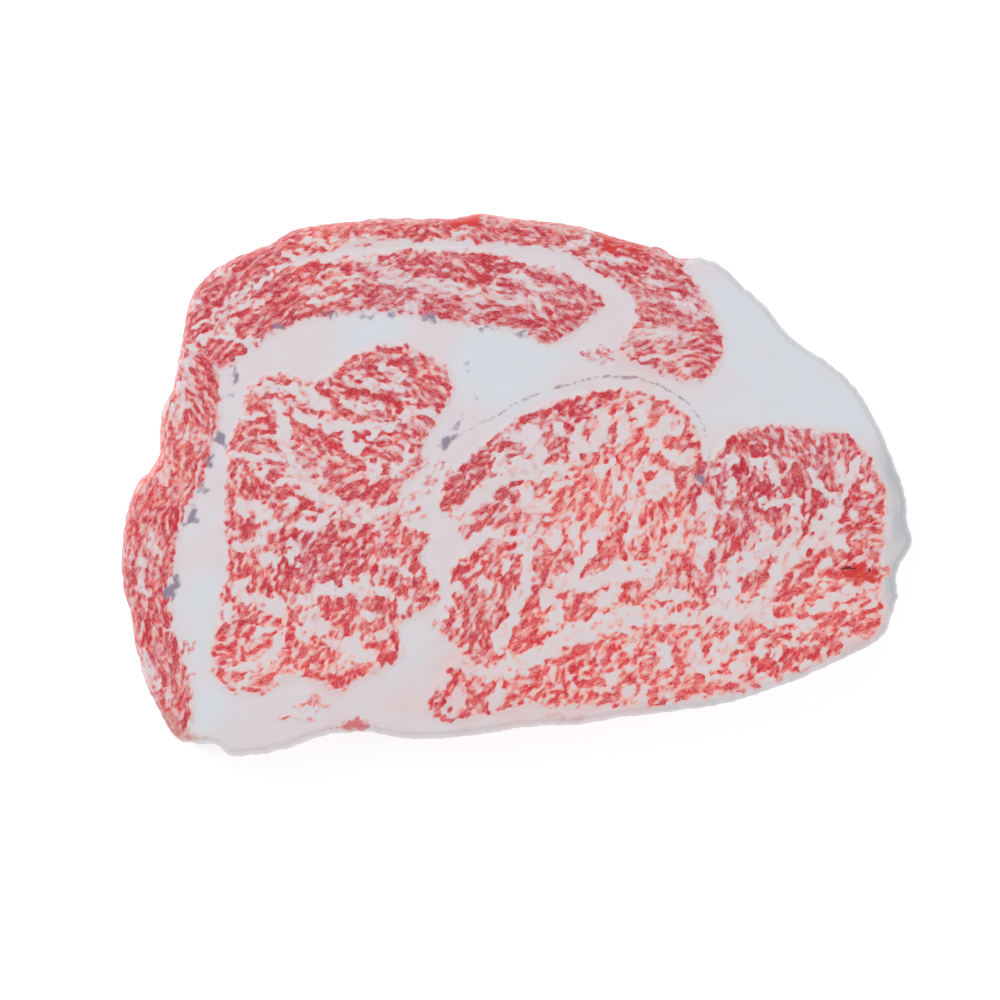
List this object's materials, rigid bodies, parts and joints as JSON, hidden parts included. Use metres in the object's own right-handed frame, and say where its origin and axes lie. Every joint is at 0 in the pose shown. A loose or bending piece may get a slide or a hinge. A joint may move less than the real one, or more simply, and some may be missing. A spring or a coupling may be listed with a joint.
{
  "type": "raw marbled rib eye steak",
  "caption": "Thick raw rib eye steak, finely marbled, lying flat with its cut face up and a soft rounded rim of fat.",
  "frame": {"origin": "middle of the steak's bounding box, on the face it rests on", "axes": "+Z out of the cut face; seen from above, +X runs to the right along the longest way across the steak and +Y towards the thin cap of meat"},
  "size_m": [0.254, 0.1744, 0.03],
  "materials": {
    "marbled_beef": "moist raw meat: red lean finely marbled with pinkish white fat"
  },
  "bodies": {
    "root": {"rib_eye": "marbled_beef"}
  },
  "joints": []
}
